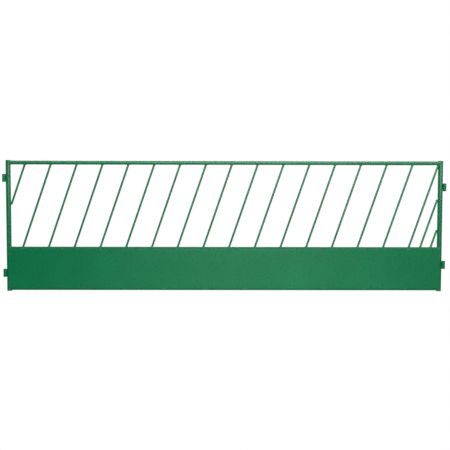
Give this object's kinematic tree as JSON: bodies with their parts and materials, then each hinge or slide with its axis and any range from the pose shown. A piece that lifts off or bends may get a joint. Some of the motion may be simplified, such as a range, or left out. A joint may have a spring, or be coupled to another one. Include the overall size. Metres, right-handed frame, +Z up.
{
  "type": "slant bar feeder panel",
  "caption": "Welded tube frame with a sheet throat panel below leaning feed bars; animals reach hay through the slanted gaps; pin sleeves on both ends join panels.",
  "frame": {"origin": "on the ground midway between the two posts, in the plane of the posts' axes", "axes": "+X along the panel, the way the bars' heads lean; -Y out of the front, the sheet's side; +Z up"},
  "size_m": [3.0988, 0.0364, 0.9144],
  "materials": {
    "green_enamel": "new gloss green enamel over bare welds, slight orange peel"
  },
  "bodies": {
    "root": {"left_post": "green_enamel", "right_post": "green_enamel", "left_post_cap": "green_enamel", "right_post_cap": "green_enamel", "top_rail": "green_enamel", "middle_rail": "green_enamel", "bottom_rail": "green_enamel", "throat_panel": "green_enamel", "feed_bar_01": "green_enamel", "feed_bar_02": "green_enamel", "feed_bar_03": "green_enamel", "feed_bar_04": "green_enamel", "feed_bar_05": "green_enamel", "feed_bar_06": "green_enamel", "feed_bar_07": "green_enamel", "feed_bar_08": "green_enamel", "feed_bar_09": "green_enamel", "feed_bar_10": "green_enamel", "feed_bar_11": "green_enamel", "feed_bar_12": "green_enamel", "feed_bar_13": "green_enamel", "feed_bar_14": "green_enamel", "feed_bar_15": "green_enamel", "feed_bar_16": "green_enamel", "left_short_bar": "green_enamel", "right_short_bar_tall": "green_enamel", "right_short_bar_low": "green_enamel", "left_upper_sleeve": "green_enamel", "left_lower_sleeve": "green_enamel", "right_upper_sleeve": "green_enamel", "right_lower_sleeve": "green_enamel", "frame_welds": "green_enamel", "bar_foot_welds": "green_enamel", "bar_head_welds": "green_enamel", "short_bar_welds": "green_enamel", "sheet_welds": "green_enamel", "sleeve_welds": "green_enamel"}
  },
  "joints": []
}
